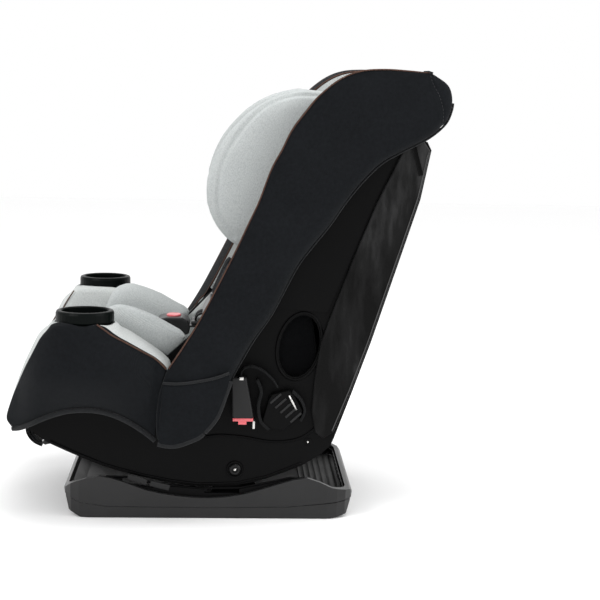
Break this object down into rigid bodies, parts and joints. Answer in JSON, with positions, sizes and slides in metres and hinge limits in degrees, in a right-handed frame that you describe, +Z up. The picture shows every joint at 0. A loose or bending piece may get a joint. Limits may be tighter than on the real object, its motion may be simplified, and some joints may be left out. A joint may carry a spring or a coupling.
{
  "type": "convertible car seat",
  "caption": "Convertible child car seat: a padded shell with side wings, headrest, harness and cup holders that reclines on a tub-shaped base.",
  "frame": {"origin": "on the floor, under the middle of the base", "axes": "+Z up; the child faces -Y; +X is the child's left"},
  "size_m": [0.4834, 0.6338, 0.659],
  "materials": {
    "black_plastic": "fine moulded grain, satin to matte",
    "base_plastic": "satin moulded plastic",
    "grey_plastic": "satin moulded plastic, slightly lighter",
    "black_fabric": "tight knit over foam, matte",
    "grey_fabric": "heathered pale grey knit over foam",
    "webbing": "woven polyester webbing",
    "red_plastic": "smooth moulded plastic",
    "steel": "plated steel"
  },
  "bodies": {
    "base": {"base_foot": "base_plastic", "base_housing": "base_plastic", "rail_left": "black_plastic", "rail_right": "black_plastic", "bracket_left": "black_plastic", "bracket_right": "black_plastic"},
    "shell": {"shell_side_left": "black_plastic", "shell_side_right": "black_plastic", "column_left": "grey_plastic", "column_right": "grey_plastic", "wing_shell_left": "black_plastic", "wing_shell_right": "black_plastic", "pivot_bolt_left": "steel", "pivot_bolt_right": "steel", "latch_connector_left": "grey_plastic", "latch_connector_right": "grey_plastic", "latch_webbing_left": "webbing", "latch_webbing_right": "webbing", "latch_adjuster_left": "grey_plastic", "latch_adjuster_right": "grey_plastic", "cup_socket_left": "black_plastic", "cup_socket_right": "black_plastic", "seat_side_cover_left": "black_fabric", "seat_side_cover_right": "black_fabric", "wing_cover_left": "black_fabric", "wing_cover_right": "black_fabric", "thigh_bolster_left": "grey_fabric", "thigh_bolster_right": "grey_fabric", "tongue_left": "steel", "tongue_right": "steel", "harness_strap_left": "webbing", "harness_strap_right": "webbing", "shoulder_pad_left": "black_fabric", "shoulder_pad_right": "black_fabric", "seat_pan": "black_plastic", "back_panel": "black_plastic", "belly_panel": "black_plastic", "rear_cover": "black_plastic", "tether_strap": "webbing", "tether_hook": "steel", "seat_cushion": "grey_fabric", "back_cushion": "grey_fabric", "crotch_strap": "webbing", "buckle": "black_plastic", "chest_clip": "black_plastic", "adjuster_housing": "black_plastic", "adjuster_strap": "webbing"},
    "headrest": {"headrest_frame": "black_plastic", "headrest_pad": "grey_fabric", "headrest_wing_left": "grey_fabric", "headrest_wing_right": "grey_fabric"},
    "headrest_handle": {"headrest_handle": "grey_plastic"},
    "cup_holder_left": {"cup_holder_left": "black_plastic"},
    "cup_holder_right": {"cup_holder_right": "black_plastic"},
    "buckle_button": {"buckle_button": "red_plastic"},
    "adjuster_button": {"adjuster_button": "red_plastic"},
    "latch_button_left": {"latch_button_left": "red_plastic"},
    "latch_button_right": {"latch_button_right": "red_plastic"},
    "recline_lever": {"recline_lever": "grey_plastic"}
  },
  "joints": [
    {"name": "recline", "type": "hinge", "parent": "base", "child": "shell", "pos_m": [0, 0.039, 0.07], "axis": [-1, 0, 0], "range_deg": [0, 25]},
    {"name": "headrest_slide", "type": "slide", "parent": "shell", "child": "headrest", "axis": [0, 0.3795, 0.9252], "range_m": [-0.018, 0.12]},
    {"name": "headrest_squeeze", "type": "slide", "parent": "headrest", "child": "headrest_handle", "axis": [0, 0.3795, 0.9252], "range_m": [0, 0.008], "stiffness_N_per_m": 400, "springref_m": -0.003},
    {"name": "cup_lift_left", "type": "slide", "parent": "shell", "child": "cup_holder_left", "axis": [0, 0, 1], "range_m": [0, 0.09]},
    {"name": "cup_lift_right", "type": "slide", "parent": "shell", "child": "cup_holder_right", "axis": [0, 0, 1], "range_m": [0, 0.09]},
    {"name": "buckle_press", "type": "slide", "parent": "shell", "child": "buckle_button", "axis": [0, 0, -1], "range_m": [0, 0.003], "stiffness_N_per_m": 900, "springref_m": -0.001},
    {"name": "harness_release", "type": "slide", "parent": "shell", "child": "adjuster_button", "axis": [0, 1, 0], "range_m": [0, 0.003], "stiffness_N_per_m": 900, "springref_m": -0.001},
    {"name": "latch_press_left", "type": "slide", "parent": "shell", "child": "latch_button_left", "axis": [0, 0, 1], "range_m": [0, 0.004], "stiffness_N_per_m": 900, "springref_m": -0.001},
    {"name": "latch_press_right", "type": "slide", "parent": "shell", "child": "latch_button_right", "axis": [0, 0, 1], "range_m": [0, 0.004], "stiffness_N_per_m": 900, "springref_m": -0.001},
    {"name": "recline_pull", "type": "hinge", "parent": "shell", "child": "recline_lever", "pos_m": [0, -0.214, 0.092], "axis": [-1, 0, 0], "range_deg": [0, 12], "stiffness_Nm_per_rad": 0.6, "springref_deg": -5.73}
  ]
}
